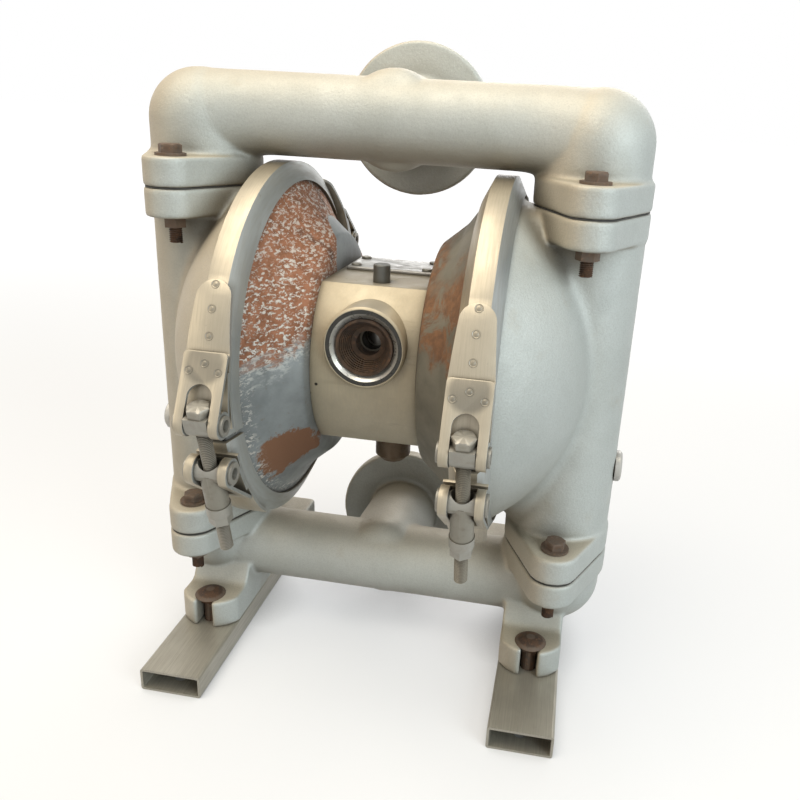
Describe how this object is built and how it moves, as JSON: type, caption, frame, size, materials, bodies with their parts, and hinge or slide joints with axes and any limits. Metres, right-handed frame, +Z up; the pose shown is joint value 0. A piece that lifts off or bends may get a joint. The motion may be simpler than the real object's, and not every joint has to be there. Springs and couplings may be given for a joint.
{
  "type": "air operated double diaphragm pump",
  "caption": "Metal air-driven diaphragm pump: domed chambers held by V-band clamps, inlet and outlet manifolds with rear flanged ports, and box-section feet.",
  "frame": {"origin": "on the floor, below the middle of the pump", "axes": "+X along the diaphragm shaft, +Y towards the two flanged ports at the back, +Z up"},
  "size_m": [0.4054, 0.3528, 0.516],
  "materials": {
    "cast_stainless": "fine blasted casting",
    "rusty_cast_iron": "rough casting with rust",
    "machined_block": "dull machined",
    "clamp_sheet": "satin stainless sheet",
    "clamp_hardware": "plain bright",
    "rusty_fasteners": "rusty steel",
    "brushed_bar": "brushed stainless",
    "bright_steel": "turned steel",
    "brown_bush": "dull brown metal",
    "plates": "turned",
    "black_rubber": "matt",
    "bronze": "turned",
    "seat_steel": "turned"
  },
  "bodies": {
    "pump_body": {"air_chamber_screws": "bright_steel", "air_inlet_bush": "brown_bush", "air_inlet_ring": "bright_steel", "centre_block": "machined_block", "clamp_bolts": "clamp_hardware", "clamp_nuts": "clamp_hardware", "clamp_saddles": "clamp_hardware", "clamp_sleeves": "clamp_hardware", "cover_screws": "bright_steel", "discharge_manifold": "cast_stainless", "discharge_seats": "seat_steel", "exhaust_silencer": "brown_bush", "flange_bolts": "rusty_fasteners", "flange_gaskets": "black_rubber", "flange_nuts": "rusty_fasteners", "flange_washers": "rusty_fasteners", "foot_bolts": "rusty_fasteners", "foot_nuts": "rusty_fasteners", "left_air_chamber": "rusty_cast_iron", "left_clamp_lower_half": "clamp_sheet", "left_clamp_upper_half": "clamp_sheet", "left_diaphragm": "black_rubber", "left_foot_bar": "brushed_bar", "left_liquid_chamber": "cast_stainless", "right_air_chamber": "rusty_cast_iron", "right_clamp_lower_half": "clamp_sheet", "right_clamp_upper_half": "clamp_sheet", "right_diaphragm": "black_rubber", "right_foot_bar": "brushed_bar", "right_liquid_chamber": "cast_stainless", "shaft_bushes": "bronze", "shaft_seals": "black_rubber", "side_plugs": "rusty_fasteners", "suction_manifold": "cast_stainless", "suction_seats": "seat_steel", "top_cover_plate": "machined_block", "valve_sleeve": "bright_steel"},
    "shaft_set": {"diaphragm_shaft": "bright_steel", "left_inner_plate": "plates", "right_inner_plate": "plates", "left_outer_plate": "plates", "right_outer_plate": "plates", "diaphragm_nuts": "bright_steel"},
    "air_valve_stem": {"air_valve_spool": "bright_steel", "spool_pin": "bright_steel"},
    "pilot": {"pilot_rod": "bright_steel"},
    "left_lower_ball": {"left_suction_ball": "black_rubber"},
    "right_lower_ball": {"right_suction_ball": "black_rubber"},
    "left_upper_ball": {"left_discharge_ball": "black_rubber"},
    "right_upper_ball": {"right_discharge_ball": "black_rubber"}
  },
  "joints": [
    {"name": "shaft_stroke", "type": "slide", "parent": "pump_body", "child": "shaft_set", "axis": [1, 0, 0], "range_m": [-0.015, 0.015], "deforming": ["left_diaphragm", "right_diaphragm"]},
    {"name": "air_valve_lift", "type": "slide", "parent": "pump_body", "child": "air_valve_stem", "axis": [0, 0, 1], "range_m": [0, 0.008]},
    {"name": "pilot_shift", "type": "slide", "parent": "pump_body", "child": "pilot", "axis": [1, 0, 0], "range_m": [-0.003, 0.003]},
    {"name": "left_lower_ball_lift", "type": "slide", "parent": "pump_body", "child": "left_lower_ball", "axis": [0, 0, 1], "range_m": [0, 0.01]},
    {"name": "right_lower_ball_lift", "type": "slide", "parent": "pump_body", "child": "right_lower_ball", "axis": [0, 0, 1], "range_m": [0, 0.01]},
    {"name": "left_upper_ball_lift", "type": "slide", "parent": "pump_body", "child": "left_upper_ball", "axis": [0, 0, 1], "range_m": [0, 0.01]},
    {"name": "right_upper_ball_lift", "type": "slide", "parent": "pump_body", "child": "right_upper_ball", "axis": [0, 0, 1], "range_m": [0, 0.01]}
  ]
}
